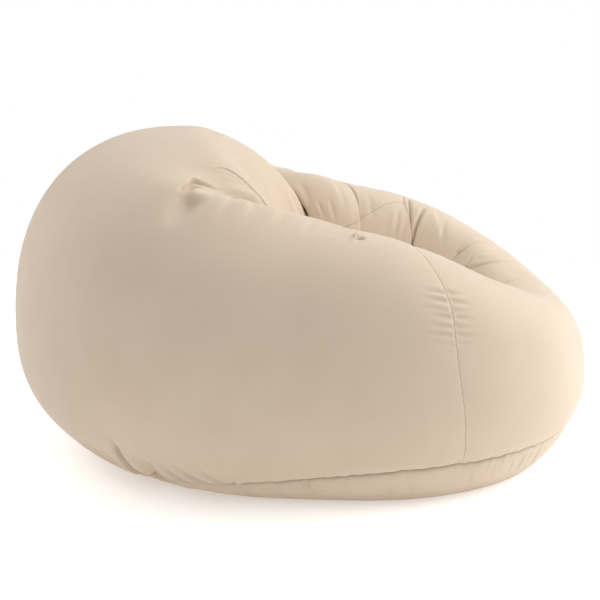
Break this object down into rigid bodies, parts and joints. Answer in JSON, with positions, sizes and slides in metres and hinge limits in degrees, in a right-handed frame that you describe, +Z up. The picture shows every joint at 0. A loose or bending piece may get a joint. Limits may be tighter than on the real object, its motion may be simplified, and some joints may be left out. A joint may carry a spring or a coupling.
{
  "type": "inflatable armchair",
  "caption": "Round inflatable armchair: a sewn cloth cover over a welded air ring with arms, low front and taller backrest, a seat chamber, an underside zip and a capped valve.",
  "frame": {"origin": "on the floor under the middle of the chair's plan", "axes": "+Z up, the front faces -Y, the width runs along X, and the arm seen nearest in the picture is at -X"},
  "size_m": [1.0942, 1.1107, 0.622],
  "materials": {
    "cover_cloth": "matte woven polyester, cream beige",
    "bladder_film": "welded vinyl film, off-white",
    "zip_cloth": "woven tape and nylon coil, beige",
    "zip_metal": "satin nickel plate",
    "valve_plastic": "satin moulded vinyl, off-white",
    "valve_rubber": "matte moulded rubber, grey"
  },
  "bodies": {
    "chair": {"cover_side_right": "cover_cloth", "cover_side_left": "cover_cloth", "cover_front": "cover_cloth", "cover_front_inner": "cover_cloth", "cover_arm_inner_right": "cover_cloth", "cover_arm_inner_left": "cover_cloth", "cover_backrest_face": "cover_cloth", "cover_seat": "cover_cloth", "cover_base": "cover_cloth", "zip_tape_front": "zip_cloth", "zip_tape_back": "zip_cloth", "zip_coil_front": "zip_cloth", "zip_coil_back": "zip_cloth", "zip_stop_left": "zip_metal", "zip_stop_right": "zip_metal", "bladder_gore_front": "bladder_film", "bladder_gore_front_corner_right": "bladder_film", "bladder_gore_front_corner_left": "bladder_film", "bladder_gore_arm_front_right": "bladder_film", "bladder_gore_arm_front_left": "bladder_film", "bladder_gore_arm_middle_right": "bladder_film", "bladder_gore_arm_middle_left": "bladder_film", "bladder_gore_arm_back_right": "bladder_film", "bladder_gore_arm_back_left": "bladder_film", "bladder_gore_backrest_right": "bladder_film", "bladder_gore_backrest_left": "bladder_film", "bladder_baffle_front_corner_right": "bladder_film", "bladder_baffle_front_corner_left": "bladder_film", "bladder_baffle_arm_front_right": "bladder_film", "bladder_baffle_arm_front_left": "bladder_film", "bladder_baffle_side_seam_right": "bladder_film", "bladder_baffle_side_seam_left": "bladder_film", "bladder_baffle_arm_pleat_right": "bladder_film", "bladder_baffle_arm_pleat_left": "bladder_film", "bladder_baffle_crease_right": "bladder_film", "bladder_baffle_crease_left": "bladder_film", "bladder_baffle_back": "bladder_film", "bladder_seat_top": "bladder_film", "bladder_seat_bucket": "bladder_film", "bladder_seat_web_front": "bladder_film", "bladder_seat_web_back": "bladder_film", "valve_flange": "valve_plastic", "valve_body": "valve_plastic"},
    "zip_slider": {"zip_slider": "zip_metal"},
    "zip_pull": {"zip_pull": "zip_metal"},
    "valve_cap": {"valve_cap": "valve_plastic"},
    "valve_flap": {"valve_flap": "valve_rubber"}
  },
  "joints": [
    {"name": "zip_slide", "type": "slide", "parent": "chair", "child": "zip_slider", "axis": [-1, 0, 0], "range_m": [0, 0.372]},
    {"name": "zip_pull_hinge", "type": "hinge", "parent": "zip_slider", "child": "zip_pull", "pos_m": [0.186, -0.165, 0.0054], "axis": [0, -1, 0], "range_deg": [-5, 175]},
    {"name": "valve_cap_hinge", "type": "hinge", "parent": "chair", "child": "valve_cap", "pos_m": [0.14508, 0.53607, 0.23875], "axis": [0.9686, -0.2485, 0], "range_deg": [0, 120]},
    {"name": "valve_flap_hinge", "type": "hinge", "parent": "chair", "child": "valve_flap", "pos_m": [0.13889, 0.51196, 0.23216], "axis": [-0.9686, 0.2485, 0], "range_deg": [0, 40], "stiffness_Nm_per_rad": 0.002}
  ]
}
